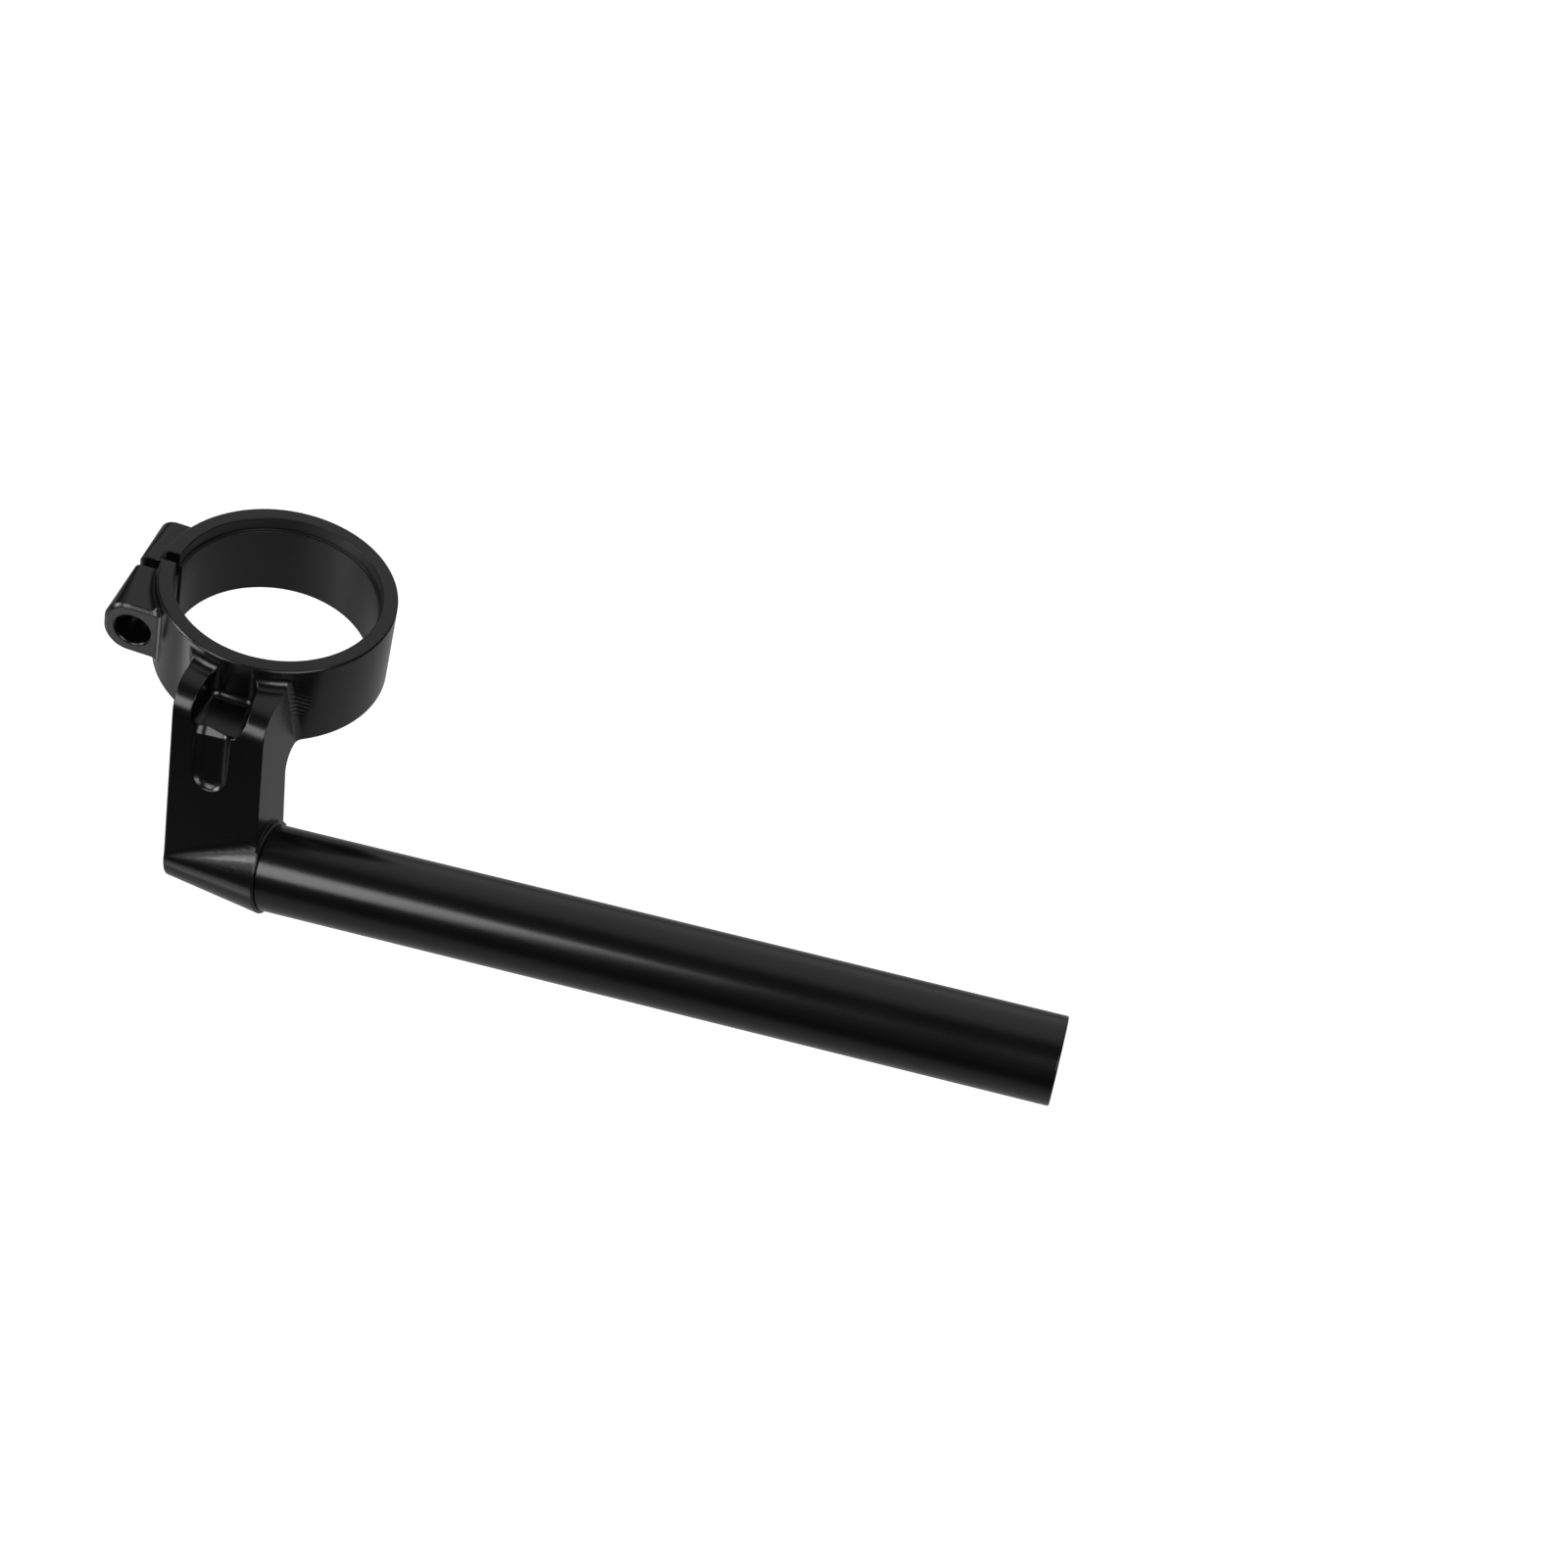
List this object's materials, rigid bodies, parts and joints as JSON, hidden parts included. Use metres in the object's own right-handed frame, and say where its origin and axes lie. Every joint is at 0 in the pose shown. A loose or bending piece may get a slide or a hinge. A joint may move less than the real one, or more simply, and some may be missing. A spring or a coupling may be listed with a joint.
{
  "type": "clip-on handlebar",
  "caption": "Clip-on motorbike handlebar: a split ring pinches round a fork tube, and a cranked arm with a milled pocket carries a straight bar for the grip and controls.",
  "frame": {"origin": "centre of the fork bore, midway up the ring", "axes": "+Z along the fork bore out of the face with the stop ring's recess, +X the way the bar runs, the arm hangs to -Y and -Z"},
  "size_m": [0.2579, 0.0954, 0.0588],
  "materials": {
    "clamp_black": "satin black anodised, machined forging",
    "bar_black": "satin black anodised, drawn tube"
  },
  "bodies": {
    "root": {"fork_clamp": "clamp_black", "bar_tube": "bar_black"}
  },
  "joints": []
}
